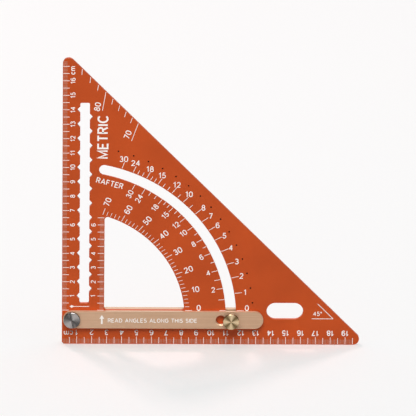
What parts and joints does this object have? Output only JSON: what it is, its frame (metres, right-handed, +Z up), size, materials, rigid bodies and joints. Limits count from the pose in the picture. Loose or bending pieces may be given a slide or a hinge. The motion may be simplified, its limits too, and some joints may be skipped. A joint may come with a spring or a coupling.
{
  "type": "rafter layout square",
  "caption": "Triangular metric layout square with a rear fence, arc and scribing slots, a swinging layout bar on a corner pivot and a thumb lock.",
  "frame": {"origin": "centre of the footprint, on the surface that the square stands on", "axes": "+Z up the upright ruler edge, +X along the fence from the pivot corner to the narrow tip, marked face looking along -Y"},
  "size_m": [0.1994, 0.0136, 0.1993],
  "materials": {
    "orange_anodised": "satin orange anodising, laser marked",
    "champagne_anodised": "fine brushed champagne anodising",
    "bright_steel": "turned and polished",
    "spun_brass": "face spun in rings",
    "white_nylon": "plain",
    "laser_mark": "white laser marking on the anodised faces"
  },
  "bodies": {
    "square": {"square_plate": "orange_anodised", "fence_rail": "champagne_anodised", "fence_screw_1": "bright_steel", "fence_screw_2": "bright_steel", "fence_screw_3": "bright_steel", "fence_screw_4": "bright_steel", "fence_screw_5": "bright_steel", "fence_screw_6": "bright_steel", "pivot_screw": "bright_steel", "pivot_flat_washer": "bright_steel", "pivot_spring_washer": "bright_steel", "pivot_nut": "bright_steel"},
    "bar": {"layout_bar": "champagne_anodised", "friction_washer": "white_nylon", "knob_washer": "bright_steel"},
    "knob": {"lock_knob": "spun_brass", "lock_stud": "bright_steel"},
    "slot_nut": {"clamp_nut": "spun_brass"}
  },
  "joints": [
    {"name": "bar_swing", "type": "hinge", "parent": "square", "child": "bar", "pos_m": [-0.09297, 0, 0.0178], "axis": [0, -1, 0], "range_deg": [0, 77.5]},
    {"name": "knob_turn", "type": "hinge", "parent": "bar", "child": "knob", "pos_m": [0.01353, 0, 0.0178], "axis": [0, -1, 0], "range_deg": [0, 120]},
    {"name": "nut_travel", "type": "slide", "parent": "bar", "child": "slot_nut", "axis": [0, 1, 0], "range_m": [0, 0.0002333]}
  ],
  "couplings": [
    {"joint": "knob_turn", "follows": "nut_travel", "rad_per_m": 8976}
  ]
}
